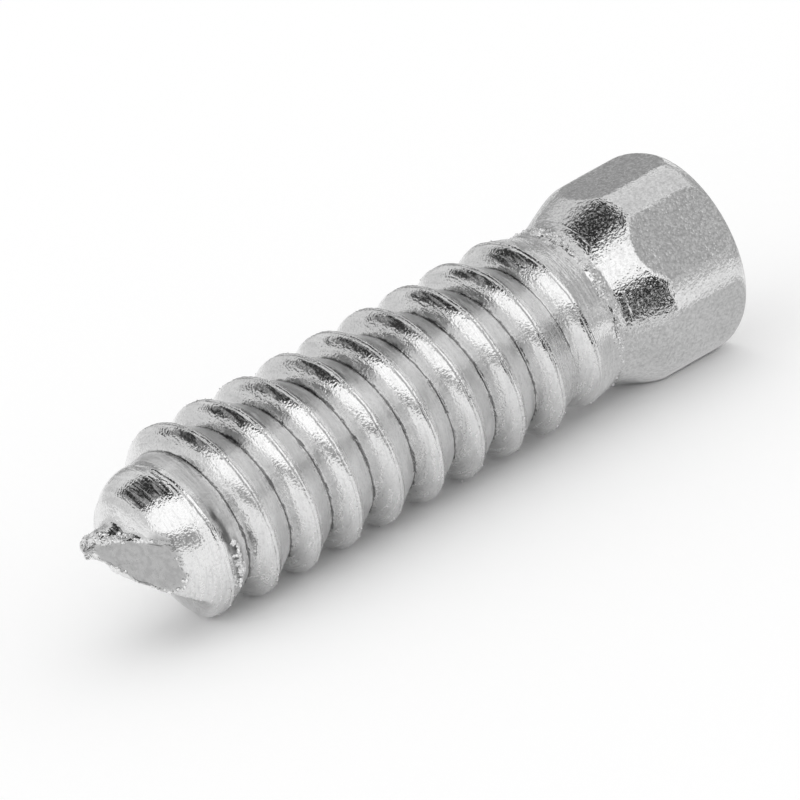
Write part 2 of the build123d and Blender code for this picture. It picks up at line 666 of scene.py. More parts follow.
@dataclass(frozen=True)
class Waver:
    """The uneven surface that rolling leaves on the shank."""

    starts: Tuple[float, float] = (1.0, 2.6)
    wide_height: float = 0.006
    wide_ripple: Ripple = Ripple(14, 0.9, 12)
    narrow_height: float = 0.0035
    narrow_ripple: Ripple = Ripple(60, 0.25, 13)

    def carve(self, wound: Winding) -> None:
        """Makes the surface uneven behind the point.

        Args:
            wound: the shank's grid.
        """
        body = step(wound.z, *self.starts)
        wound.radius += body * self.wide_height * self.wide_ripple.at(wound.angle, wound.z)
        wound.radius += body * self.narrow_height * self.narrow_ripple.at(wound.angle, wound.z)


@dataclass(frozen=True)
class CrumbledRing:
    """The ring of crumbled metal where the thread ends at the neck, strongest on one side."""

    neck_gap: float = 0.07
    wander: float = 0.05
    wander_ripple: Ripple = Ripple(16, 1.0, 14)
    wander_row: float = 3.0
    middle: float = 50.0
    sides: Tuple[float, float] = (45.0, 75.0)
    least: float = 0.10
    height: float = 0.11
    base: float = 0.02
    lead: float = 0.06
    width: float = 0.17
    rough_ripple: Ripple = Ripple(80, 0.11, 15)
    bank: float = 0.03
    bank_starts: Tuple[float, float] = (0.7, 0.25)
    bank_ends: Tuple[float, float] = (0.05, 0.22)
    shine_width: float = 0.2
    chip_lead: float = 0.05
    chip_width: float = 0.15

    def carve(self, wound: Winding) -> None:
        """Raises a bank before the neck and the crumbled ring on it.

        Args:
            wound: the shank's grid.
        """
        angle, z = wound.angle, wound.z
        ring = wound.neck_z - self.neck_gap
        ring = ring + self.wander * self.wander_ripple.at(angle, z * 0 + self.wander_row)
        side = self.least + (1 - self.least) * (1 - step(np.abs(away_from(angle, self.middle)), *self.sides))
        rough = 0.5 + 0.5 * self.rough_ripple.at(angle, z)
        before = step(z, ring - self.bank_starts[0], ring - self.bank_starts[1])
        before = before * (1 - step(z, ring - self.bank_ends[0], ring + self.bank_ends[1]))
        crumbs = side * (self.height * rough - self.base) * hump(z, ring - self.lead, self.width)
        wound.radius += self.bank * before + crumbs
        wound.marks["rim"] = side * hump(z, ring - self.lead, self.shine_width)
        wound.spots["rim"] = side * rough**2 * hump(z, ring - self.chip_lead, self.chip_width)


@dataclass(frozen=True)
class Flake:
    """The flake of metal lifted beside the first turn, with painted shade in the groove beside it and under
    it.
    """

    angle: float = 110.0
    spread: float = 12.0
    height_z: float = 2.91
    length: float = 0.10
    lift: float = 0.12
    ragged: float = 0.16
    ragged_ripple: Ripple = Ripple(90, 0.09, 16)
    groove: Tuple[float, float] = (-27.0, 30.0)
    groove_z: float = 2.80
    groove_width: float = 0.19
    groove_ripple: Ripple = Ripple(70, 0.12, 19)
    shadow: Tuple[float, float] = (-2.0, 22.0)
    shadow_z: float = 2.93
    shadow_width: float = 0.27

    def carve(self, wound: Winding) -> None:
        """Lifts the flake and marks painted shade round it.

        Args:
            wound: the shank's grid.
        """
        angle, z = wound.angle, wound.z
        beside = away_from(angle, self.angle)
        flake = hump(beside, 0, self.spread) * hump(z, self.height_z, self.length)
        wound.radius += flake * (self.lift + self.ragged * self.ragged_ripple.at(angle, z))
        # Painted shade: the groove beside the flake and the place under it are darkened.
        groove_z = self.groove_z + wound.thread.pitch * beside / 360
        grime = hump(beside, *self.groove) * hump(z, groove_z, self.groove_width)
        grime = grime * (0.8 + 0.3 * self.groove_ripple.at(angle, z))
        under = hump(beside, *self.shadow) * hump(z, self.shadow_z, self.shadow_width)
        wound.spots["flake"] = flake
        wound.marks["grime"] = np.maximum(grime, under)


@dataclass(frozen=True)
class Facet:
    """A flat left by shearing: the angle and tilt it faces, its distance from the tip and where it fades."""

    angle: float
    tilt: float
    distance: float
    fade: Tuple[float, float]

    def facing(self) -> Grid:
        """Direction that the facet faces, on the screw's three directions."""
        turn, tilt = math.radians(self.angle), math.radians(self.tilt)
        return np.array([math.cos(tilt) * math.cos(turn), math.cos(tilt) * math.sin(turn), -math.sin(tilt)])


@dataclass(frozen=True)
class Torn:
    """The torn metal at the point: its rough faces, the burr round them, a ledge and lumps.

    Heights, widths and fades are in millimetres. The calm values say how far a sheared face is spared.
    """

    face_heights: Tuple[float, float] = (0.014, 0.008)
    face_grains: Tuple[Grain, Grain] = (Grain(0.22, 21), Grain(0.09, 22))
    burr_least: float = 0.02
    burr_height: float = 0.09
    burr_width: float = 0.05
    burr_grain: Grain = Grain(0.12, 24)
    ledge_height: float = 0.03
    ledge_edge: Tuple[float, float] = (-0.03, 0.01)
    ledge_wander: float = 0.02
    ledge_grain: Grain = Grain(0.3, 27)
    ledge_fade: Tuple[float, float] = (0.7, 1.1)
    lump_heights: Tuple[float, float] = (0.08, 0.05)
    lump_grains: Tuple[Grain, Grain] = (Grain(0.22, 25), Grain(0.11, 26))
    lump_fade: Tuple[float, float] = (0.3, 0.8)
    lump_calm: float = 0.92
    # Width and start of the painted shade along the facet's edge.
    crease_width: float = 0.02
    crease_fade: Tuple[float, float] = (0.5, 0.8)
    face_edge: Tuple[float, float] = (-0.02, 0.04)
    fill_edge: Tuple[float, float] = (-0.03, 0.06)
    chip_fade: Tuple[float, float] = (0.30, 0.85)
    chip_calm: float = 0.9

    @staticmethod
    def rough(points: Grid, heights: Tuple[float, float], grains: Tuple[Grain, Grain]) -> Grid:
        """Two layers of noise.

        Args:
            points: points in millimetres.
            heights: the layers' heights.
            grains: the layers.

        Returns:
            Heights.
        """
        return heights[0] * grains[0].at(points) + heights[1] * grains[1].at(points)


@dataclass
class Nose:
    """The domed nose under the thread, its leaning point and the facets where it was sheared off.

    Lengths are in millimetres and angles in degrees. The facet's outline is given as seen from its view's
    angle: how far each corner lies towards the viewer, beside the axis and along it.
    """

    tip_radius: float = 0.27
    tip_round: float = 0.14
    tip_reach: float = 0.9
    tip_power: float = 1.5
    tip_swell: float = 0.12
    dome_start_z: float = 1.05
    dome_blend: float = 0.055
    point_radius: float = 0.60
    point_length: float = 0.75
    offset: float = 0.62
    offset_angle: float = -23.5
    lean_end: float = 1.15
    lean_power: float = 2.2
    radius: float = 1.90
    widest_z: float = 2.1
    core_z: float = 3.4
    first_crest_z: float = 1.66
    dome_power: float = 1.8
    swell_starts: Tuple[float, float] = (0.9, 1.3)
    swell_ends: Tuple[float, float] = (2.75, 3.04)
    facet: Facet = Facet(85.5, 60.2, -0.293, (2.0, 2.3))
    facet_reach: Tuple[float, float] = (-0.50, -0.30)
    facet_start: Tuple[float, float] = (0.3, 0.5)
    facet_view: float = 66.5
    facet_outline: Tuple[Place, ...] = (
        (0.49, -0.61, 0.72), (1.07, -0.26, 0.86), (1.53, 0.106, 1.06), (1.79, 0.317, 1.31),
        (1.62, 1.20, 1.52), (1.37, 1.43, 1.42), (1.017, 1.386, 1.147), (0.777, 1.122, 0.917),
        (0.445, 0.725, 0.647), (0.075, -0.15, 0.247), (0.03, -0.62, 0.09),
    )
    under: Facet = Facet(184.9, 34.0, 0.03, (1.58, 2.4))
    under_twist: float = 0.3
    under_turn: Tuple[float, float] = (150.0, 190.0)
    torn: Torn = Torn()

    def radii(self, z: Grid) -> Grid:
        """Radius of the point and the dome behind it.

        Args:
            z: heights.

        Returns:
            Radii.
        """
        left = np.clip((self.widest_z - z) / (self.widest_z - self.point_length), 0, 1)
        dome = self.point_radius + (self.radius - self.point_radius) * np.sqrt(1 - left**2)
        end = 1.0 / (1.0 + np.exp(-(z - self.dome_start_z) / self.dome_blend))
        round_tip = np.sqrt(np.clip(1 - np.clip(1 - z / self.tip_round, 0, 1) ** 2, 0, 1))
        swell = self.point_radius + self.tip_swell - self.tip_radius
        point = self.tip_radius * round_tip + swell * np.clip(z / self.tip_reach, 0, 1) ** self.tip_power
        return np.where(z <= 0, 0, point + (np.maximum(dome, point) - point) * end)

    def bridge(self, z: Grid, crest_z: Grid, crest_radius: Grid) -> Grid:
        """Radius of a dome that swells straight into the first crest.

        Args:
            z: heights.
            crest_z: height of the first crest at each angle.
            crest_radius: its radius.

        Returns:
            Radii.
        """
        left = np.clip((crest_z - z) / (crest_z - self.point_length), 0, 1)
        round_share = (1 - left**self.dome_power) ** (1 / self.dome_power)
        return self.point_radius + (crest_radius - self.point_radius) * round_share

    def shift(self, z: Grid) -> Tuple[Grid, Grid]:
        """How far the point leans off the axis.

        Args:
            z: heights.

        Returns:
            Distances along up and along side.
        """
        lean = self.offset * (1 - np.clip(z / self.lean_end, 0, 1) ** self.lean_power)
        turn = math.radians(self.offset_angle)
        return lean * math.cos(turn), lean * math.sin(turn)

    def outline(self) -> Grid:
        """The facet's outline turned onto the screw's three directions, to a hundredth of a millimetre.

        Returns:
            Rows of three distances.
        """
        turn = math.radians(self.facet_view)
        towards, beside, along = np.array(self.facet_outline).T
        across = towards * math.cos(turn) - beside * math.sin(turn)
        sideways = towards * math.sin(turn) + beside * math.cos(turn)
        return np.stack([np.round(across, 2), np.round(sideways, 2), along], axis=-1)

    def inside_facet(self, points: Grid) -> Grid:
        """How far inside the facet's outline points lie, seen square to the facet.

        Args:
            points: points in millimetres on the three directions.

        Returns:
            Distances, negative outside.
        """
        normal = self.facet.facing()
        first = np.cross(normal, (0.0, 0.0, 1.0))
        first /= np.linalg.norm(first)
        plane = np.stack([first, np.cross(normal, first)], axis=-1)
        flat, outline = points @ plane, self.outline() @ plane
        nearest = np.full(flat.shape[:-1], 10.0)
        inside = np.zeros(flat.shape[:-1], dtype=bool)
        for start, end in zip(outline, np.roll(outline, -1, axis=0)):
            side, reach = end - start, flat - start
            share = np.clip((reach @ side) / (side @ side), 0, 1)
            nearest = np.minimum(nearest, np.linalg.norm(reach - share[..., None] * side, axis=-1))
            crosses = (start[1] > flat[..., 1]) != (end[1] > flat[..., 1])
            upward = np.sign(side[1])
            inside ^= crosses & (reach[..., 0] * side[1] * upward < reach[..., 1] * side[0] * upward)
        return np.where(inside, nearest, -nearest)

    def undercut(self, points: Grid, angle: Grid, rough: Grid) -> Tuple[Grid, Grid]:
        """Cuts the facet on the far side of the point.

        Args:
            points: points in millimetres on the three directions.
            angle: their degrees round the axis.
            rough: how far each stands out of a clean cut.

        Returns:
            The cut points, and how fully each lies on the facet.
        """
        facing = self.under.facing()
        past = points @ facing - self.under.distance - 2 * rough
        held = 1 - step(points[..., 2] - self.under_twist * step(angle, *self.under_turn), *self.under.fade)
        cut = points - facing * (np.clip(past, 0, None) * held)[..., None]
        return cut, held * step(past, 0.0, 0.1)

    def shear_off(self, wound: Winding, points: Grid) -> Grid:
        """Cuts the facets, raises the burr round them and lumps at the point, and marks them, with painted
        shade along the facet's edge and the ledge's fold.

        Args:
            wound: the shank's grid.
            points: its points in millimetres on the three directions.

        Returns:
            The points, moved.
        """
        torn, z = self.torn, points[..., 2]
        rough = torn.rough(points, torn.face_heights, torn.face_grains)
        points, undercut = self.undercut(points, wound.angle + 0 * z, rough)
        normal = self.facet.facing()
        depth = points @ normal - self.facet.distance - rough
        keep = 1 - step(z, *self.facet.fade)
        within = self.inside_facet(points) + 2 * rough
        near = step(depth, *self.facet_reach)
        fill = step(within, *torn.fill_edge) * near
        shear = np.maximum(step(depth, *torn.face_edge) * keep * step(z, *self.facet_start), fill)
        edge = hump(within, -0.01, torn.burr_width) * near * step(z, *self.facet_start)
        burr = (torn.burr_least + torn.burr_height * (0.5 + 0.5 * torn.burr_grain.at(points))) * edge
        turn = math.radians(self.facet.angle)
        across = points[..., 1] * math.cos(turn) - points[..., 0] * math.sin(turn)
        fold = across + torn.ledge_wander * torn.ledge_grain.at(points)
        ledge_share = 1 - step(z, *torn.ledge_fade)
        ledge = torn.ledge_height * step(fold, *torn.ledge_edge) * ledge_share
        lump_share = 1 - step(z, *torn.lump_fade)
        lumps = lump_share * torn.rough(points, torn.lump_heights, torn.lump_grains)
        push = burr - ledge * shear + lumps * (1 - torn.lump_calm * shear)
        cut = np.clip(depth, 0, None) * keep
        # Painted shade: dark lines along the facet's outline and the ledge's fold.
        crease = hump(within, 0.0, torn.crease_width) * near * step(z, *torn.crease_fade)
        wound.marks["crease"] = crease + hump(fold, 0.0, torn.crease_width) * shear * ledge_share
        wound.marks["shear"] = np.clip(shear + undercut, 0, 1)
        wound.spots["edge"] = edge
        wound.spots["tip"] = (1 - step(z, *torn.chip_fade)) * (1 - torn.chip_calm * wound.marks["shear"])
        return points - normal * (cut + np.minimum(depth, 0) * fill - push)[..., None]


@dataclass
class Head:
    """The hexagonal head and the neck under it, in millimetres and degrees."""

    length: float = 20.15
    neck_radius: float = 2.335
    neck_end_z: float = 16.12
    shank_end_z: float = 16.5
    underside: float = 1.68
    flare: float = 0.4
    flat_distance: float = 2.74
    corner_radius: float = 2.904
    end_radius: float = 0.85
    end_arc: float = 40.0
    edge_round: float = 0.012
    edge_fade: float = 0.7
    uneven_height: float = 0.006
    uneven_ripple: Ripple = Ripple(22, 1.1, 31)
    uneven_starts: Tuple[float, float] = (16.4, 17.0)
    flat_height: float = 0.004
    flat_cut: Tuple[float, float] = (0.01, 0.05)
    flat_ripple: Ripple = Ripple(60, 0.28, 32)

    def end_start_z(self) -> float:
        """Height at which the rounded end edge starts."""
        return self.length - self.end_radius * math.sin(math.radians(self.end_arc))

    def underside_curve(self) -> Tuple[Grid, Grid]:
        """The S-curve of the underside.

        Returns:
            Heights and radii along it.
        """
        t = np.linspace(0, 1, 80)
        z0, z3 = self.neck_end_z, self.neck_end_z + self.underside
        b0, b1, b2, b3 = (1 - t) ** 3, 3 * t * (1 - t) ** 2, 3 * t**2 * (1 - t), t**3
        z = b0 * z0 + b1 * (z0 + self.flare) + b2 * (z3 - self.flare) + b3 * z3
        return z, (b0 + b1) * self.neck_radius + (b2 + b3) * self.corner_radius

    def round_radius(self, z: Grid) -> Grid:
        """Radius of the turned blank at heights above the neck.

        Args:
            z: heights.

        Returns:
            Radii.
        """
        heights, radii = self.underside_curve()
        turned = np.interp(z, heights, radii)
        past = np.clip(z - self.end_start_z(), 0, self.end_radius * 0.999)
        return turned - (self.end_radius - np.sqrt(self.end_radius**2 - past**2))

    def radius(self, angle: Grid, z: Grid) -> Grid:
        """Radius of the head with its flats.

        Args:
            angle: degrees round the axis.
            z: heights.

        Returns:
            Radii.
        """
        turned = self.round_radius(z)
        from_middle = np.radians(np.mod(angle + 30, 60) - 30)
        flat = self.flat_distance / np.cos(from_middle)
        gap = np.abs(turned - flat)
        soft = np.clip(self.edge_round - gap, 0, None) ** 2 / (4 * self.edge_round)
        return np.minimum(turned, flat) - soft

    def edge_angles(self, columns: int) -> Tuple[Grid, Grid]:
        """Angles of the grid's columns, and how far each moves so that one lies on each flat's edge.

        Args:
            columns: the number of columns.

        Returns:
            Degrees round the axis, and the moves in degrees.
        """
        base = np.arange(columns) * 360.0 / columns
        edge = math.degrees(math.acos(self.flat_distance / self.corner_radius))
        column = round(edge / (360.0 / columns)) * 360.0 / columns
        local = np.mod(base + 30, 60) - 30
        moved = np.sign(local) * np.interp(np.abs(local), [0, column, 30], [0, edge, 30])
        return base, moved - local

    def rings(self, columns: int, rows: int, end_rows: int, disc_rows: int) -> Grid:
        """The rings of points from the neck to the middle of the head's end.

        Args:
            columns: points in each ring.
            rows: rings up to the end edge.
            end_rows: rings over the end edge.
            disc_rows: steps from the end edge to the middle of the end.

        Returns:
            Points in millimetres on the three directions.
        """
        rise = np.linspace(self.shank_end_z, self.end_start_z(), rows + 1)[1:]
        over = np.radians(np.linspace(0, self.end_arc, end_rows + 1)[1:])
        heights = np.concatenate([rise, self.end_start_z() + self.end_radius * np.sin(over)])
        base, moves = self.edge_angles(columns)
        fade = step(heights, self.shank_end_z, self.shank_end_z + self.edge_fade)[:, None]
        angle = base[None, :] + moves[None, :] * fade
        z = heights[:, None] + 0 * angle
        radius = self.radius(angle, z)
        flat = step(self.round_radius(z) - radius, *self.flat_cut)
        radius += self.uneven_height * self.uneven_ripple.at(angle, z) * step(z, *self.uneven_starts)
        radius += self.flat_height * flat * self.flat_ripple.at(angle, z)
        turn = np.radians(angle)
        points = np.stack([radius * np.cos(turn), radius * np.sin(turn), z], axis=-1)
        inward = np.linspace(1, 0, disc_rows + 1)[1:-1]
        discs = [points[-1] * np.array([share, share, 1.0]) for share in inward]
        return np.concatenate([points, np.stack(discs)])


@dataclass(frozen=True)
class Chips:
    """Small jagged chips of metal in one place: how many, and the radii of the smallest and the largest.

    The count is also the seed of their sizes and places.
    """

    count: int
    smallest: float
    largest: float
    squash: Tuple[float, float] = (0.6, 1.0)
    jagged: Tuple[float, float] = (0.6, 1.25)

    def scatter(self, points: Grid, weight: Grid) -> List[Grid]:
        """Places the chips so that they stick out of the surface.

        Args:
            points: the surface's points.
            weight: how likely each is to carry a chip.

        Returns:
            The twelve corners of each chip.
        """
        random = np.random.default_rng(self.count)
        chosen = random.choice(len(points), self.count, replace=False, p=weight / weight.sum())
        chips = []
        for place in points[chosen]:
            size = random.uniform(self.smallest, self.largest) * random.uniform(*self.squash, 3)
            turn, _ = np.linalg.qr(random.normal(size=(3, 3)))
            corners = CHIP_CORNERS * random.uniform(*self.jagged, (len(CHIP_CORNERS), 1)) * size
            chips.append(place + corners @ turn)
        return chips


@dataclass
class Skin:
    """The wound shank's surface: its points, which of them lie past its ends, its marks and its chips."""

    points: Grid
    past: Grid
    marks: Dict[str, Grid]
    chips: List[Grid]


@dataclass
class StudScrew:
    """The whole screw as one closed mesh on a helical grid, with loose chips on it.

    The rows are those of one pitch, and the grid starts some turns below the first crest so that it covers
    the point. Lengths are in millimetres.
    """

    thread: Thread = field(default_factory=Thread)
    nose: Nose = field(default_factory=Nose)
    head: Head = field(default_factory=Head)
    crest_marks: CrestMarks = CrestMarks()
    root_marks: RootMarks = RootMarks()
    waver: Waver = Waver()
    ring: CrumbledRing = CrumbledRing()
    flake: Flake = Flake()
    columns: int = 180
    rows: int = 34
    first_turn: int = -2
    head_rows: int = 76
    end_rows: int = 8
    disc_rows: int = 9
    neck_rise: float = 0.52
    head_finish: Tuple[float, float] = (15.6, 16.2)
    # Strengths of the painted shade along the creases and in the groove by the flake.
    crease_shade_weight: float = 0.8
    grime_dirt: float = 0.95
    chip_places: Dict[str, Chips] = field(default_factory=lambda: {
        "edge": Chips(130, 0.030, 0.100), "tip": Chips(45, 0.030, 0.100), "flake": Chips(42, 0.05, 0.12),
        "rim": Chips(200, 0.035, 0.080), "crest": Chips(280, 0.012, 0.042), "root": Chips(90, 0.010, 0.030),
    })
    axes: Axes = field(init=False)

    def __post_init__(self) -> None:
        """Places the screw."""
        self.axes = Axes(self.head.length)

    def row_places(self) -> Grid:
        """Distances past the root of the rows of one pitch, closer together at the crest and the root.

        Returns:
            One distance for each row.
        """
        pitch, seam = self.thread.pitch, self.thread.crest_offset()
        crest, root, next_root = (2.2, seam, 0.13), (2.0, 0.0, 0.1), (2.0, pitch, 0.06)
        tip_fold = (0.8, 0.2, 0.15)
        x = np.linspace(0, pitch, 2001)
        weight = np.ones_like(x)
        for more, middle, width in (crest, root, next_root, tip_fold):
            weight += more * hump(x, middle, width)
        total = np.concatenate([[0], np.cumsum((weight[1:] + weight[:-1]) / 2)])
        return np.interp(np.arange(self.rows) / self.rows * total[-1], total, x)

    def blank(self, z: Grid) -> Grid:
        """Radius under the thread.

        Args:
            z: heights.

        Returns:
            Radii.
        """
        nose, thread, head = self.nose, self.thread, self.head
        grown = np.clip((z - nose.widest_z) / (nose.core_z - nose.widest_z), 0, 1)
        core = thread.core_radius - (thread.core_radius - nose.radius) * (1 - grown) ** 2
        rise_end_z = head.neck_end_z - self.neck_rise
        rise = np.clip((z - thread.runout_z) / (rise_end_z - thread.runout_z), 0, 1)
        body = core + (head.neck_radius - thread.core_radius) * np.sin(np.pi / 2 * rise)
        body += np.where(z > head.neck_end_z, head.round_radius(z) - head.neck_radius, 0)
        return np.where(z < nose.widest_z, nose.radii(z), body)

    def wind(self) -> Winding:
        """Winds the shank's grid from below the point to the neck, with the plain thread on it.

        Returns:
            The grid.
        """
        thread, head = self.thread, self.head
        seam = thread.crest_offset()
        first_root = thread.crest_phase - seam
        turns = math.ceil((head.shank_end_z - first_root) / thread.pitch) + 1 - self.first_turn
        past_root = np.tile(self.row_places(), turns)[:, None]
        turn = np.repeat(np.arange(turns) + self.first_turn, self.rows)[:, None]
        angle = (np.arange(self.columns) * 360.0 / self.columns)[None, :]
        root_z = first_root + thread.pitch * (turn + angle / 360.0)
        nominal = root_z + past_root
        crest_z = root_z + seam
        z = np.clip(nominal, 0.0, head.shank_end_z)
        share = thread.share(crest_z)
        bent = thread.bent(past_root, angle, crest_z)
        radius = self.blank(z) + thread.depth() * thread.form(bent) * share
        return Winding(
            thread=thread,
            neck_z=head.neck_end_z,
            past_root=past_root,
            turn=turn,
            angle=angle,
            nominal=nominal,
            crest_z=crest_z,
            z=z,
            share=share,
            bent=bent,
            radius=radius,
        )

    def swell_nose(self, wound: Winding) -> None:
        """Lets the dome swell straight into the first crest.

        Args:
            wound: the shank's grid.
        """
        thread, nose, z = self.thread, self.nose, wound.z
        lobe_z = nose.first_crest_z + np.mod(wound.crest_z - nose.first_crest_z, thread.pitch)
        lobe_radius = self.blank(lobe_z) + thread.depth() * thread.share(lobe_z)
        swell = np.clip(nose.bridge(z, lobe_z, lobe_radius) - wound.radius, 0, None)
        swell *= (1 - step(lobe_z, *nose.swell_ends)) * step(z, *nose.swell_starts) * (z < lobe_z)
        wound.radius += swell

    def shank(self) -> Skin:
        """The threaded shank from the point to the neck.

        Returns:
            Its surface.
        """
        wound = self.wind()
        self.swell_nose(wound)
        for feature in (self.crest_marks, self.root_marks, self.waver, self.ring, self.flake):
            feature.carve(wound)
        turn = np.radians(wound.angle + 0 * wound.z)
        across, sideways = self.nose.shift(wound.z)
        upright = [wound.radius * np.cos(turn) + across, wound.radius * np.sin(turn) + sideways, wound.z]
        points = self.nose.shear_off(wound, np.stack(upright, axis=-1))
        past = np.where(wound.nominal <= 0.0, -1, np.where(wound.nominal >= self.head.shank_end_z, 1, 0))
        on_grid = past == 0
        chips = []
        for name, kind in self.chip_places.items():
            chips += kind.scatter(points[on_grid], (wound.spots[name] + 0 * wound.z)[on_grid])
        marks = wound.marks
        # Painted shade: the root line, the creases, the groove by the flake and the seam all darken the
        # colour through the root mark.
        painted_shade = marks["root"] + self.crease_shade_weight * marks["crease"] + self.grime_dirt * marks["grime"]
        marks["root"] = np.clip(painted_shade + marks["seam"], 0, 1)
        marks["head"] = step(wound.z, *self.head_finish)
        marks["chip"] = 0 * wound.z
        return Skin(points, past, marks, chips)

    def numbers(self, past: Grid, rings: int) -> Tuple[Grid, Grid]:
        """Numbers the points of the wound grid and of the head, each closed on itself round the screw.

        Args:
            past: which places of the wound grid lie past its ends.
            rings: how many rings the head has.

        Returns:
            The wound grid's point numbers and the head's, which start with the neck's ring.
        """
        kept = past == 0
        tip = int(kept.sum())
        neck = tip + 1 + np.arange(self.columns)
        index = np.full(past.shape, tip)
        index[kept] = np.arange(tip)
        index = np.where(past > 0, neck, index)
        next_turn = np.roll(index, -self.rows, axis=0)[:, :1]
        wound = np.concatenate([index, next_turn], axis=1)[: -self.rows]
        head = neck[-1] + 1 + np.arange(rings * self.columns).reshape(rings, self.columns)
        head = np.concatenate([neck[None, :], head])
        return wound, np.concatenate([head, head[:, :1]], axis=1)

    def faces(self, past: Grid, rings: int) -> List[List[int]]:
        """The faces of the shank and the head, closed at the point and at the middle of the end.

        Args:
            past: which places of the wound grid lie past its ends.
            rings: how many rings the head has.

        Returns:
            Each face's point numbers.
        """
        wound, head = self.numbers(past, rings)
        made = [without_repeats(face) for face in np.concatenate([quads(wound), quads(head)]).tolist()]
        last, centre = head[-1].tolist(), int(head.max()) + 1
        made += [[a, b, centre] for a, b in zip(last[:-1], last[1:])]
        return [face for face in made if len(face) > 2]

    def build(self) -> bpy.types.Object:
        """Joins the shank, the neck, the head and the chips into one mesh.

        Returns:
            The mesh object.
        """
        shank = self.shank()
        rings = self.head.rings(self.columns, self.head_rows, self.end_rows, self.disc_rows)
        faces = self.faces(shank.past, len(rings))
        smooth = len(faces)
        centre = np.array([[0.0, 0.0, self.head.length]])
        skin = [shank.points[shank.past == 0], *self.tip_and_neck(), rings.reshape(-1, 3), centre]
        chip_start = sum(len(part) for part in skin)
        pattern = np.array(chip_faces())
        for number in range(len(shank.chips)):
            faces += (pattern + chip_start + len(CHIP_CORNERS) * number).tolist()
        points = np.concatenate(skin + shank.chips)

        mesh = bpy.data.meshes.new("stud_screw_plated")
        mesh.from_pydata(self.axes.world(points).tolist(), [], faces)
        mesh.validate()
        mesh.polygons.foreach_set("use_smooth", [number < smooth for number in range(len(mesh.polygons))])
        self.mark(mesh, shank, rings.shape[0] * self.columns + 1)
        mesh.update()
        screw = bpy.data.objects.new("stud_screw_plated", mesh)
        bpy.context.scene.collection.objects.link(screw)
        return screw

    def mark(self, mesh: bpy.types.Mesh, shank: Skin, head_points: int) -> None:
        """Stores the marks that the finish reads, as attributes of the mesh.

        Args:
            mesh: the screw's mesh.
            shank: the shank's surface.
            head_points: how many points the head has.
        """
        for name in MARKS:
            on_tip = [1.0 if name == "shear" else 0.0]
            on_neck = np.zeros(self.columns)
            on_head = np.full(head_points, 1.0 if name == "head" else 0.0)
            on_chips = np.full(len(CHIP_CORNERS) * len(shank.chips), 1.0 if name == "chip" else 0.0)
            on_shank = shank.marks[name][shank.past == 0]
            values = np.concatenate([on_shank, on_tip, on_neck, on_head, on_chips])
            attribute = mesh.attributes.new(name, "FLOAT", "POINT")
            attribute.data.foreach_set("value", values.astype(np.float32))

    def tip_and_neck(self) -> Tuple[Grid, Grid]:
        """The single point at the tip and the level ring at the neck.

        Returns:
            Each one's points in millimetres on the three directions.
        """
        across, sideways = self.nose.shift(np.array(0.0))
        angle = np.radians(np.arange(self.columns) * 360.0 / self.columns)
        z = 0 * angle + self.head.shank_end_z
        radius = self.head.round_radius(z)
        ring = np.stack([radius * np.cos(angle), radius * np.sin(angle), z], axis=-1)
        return np.array([[across, sideways, 0.0]]), ring


# Finish


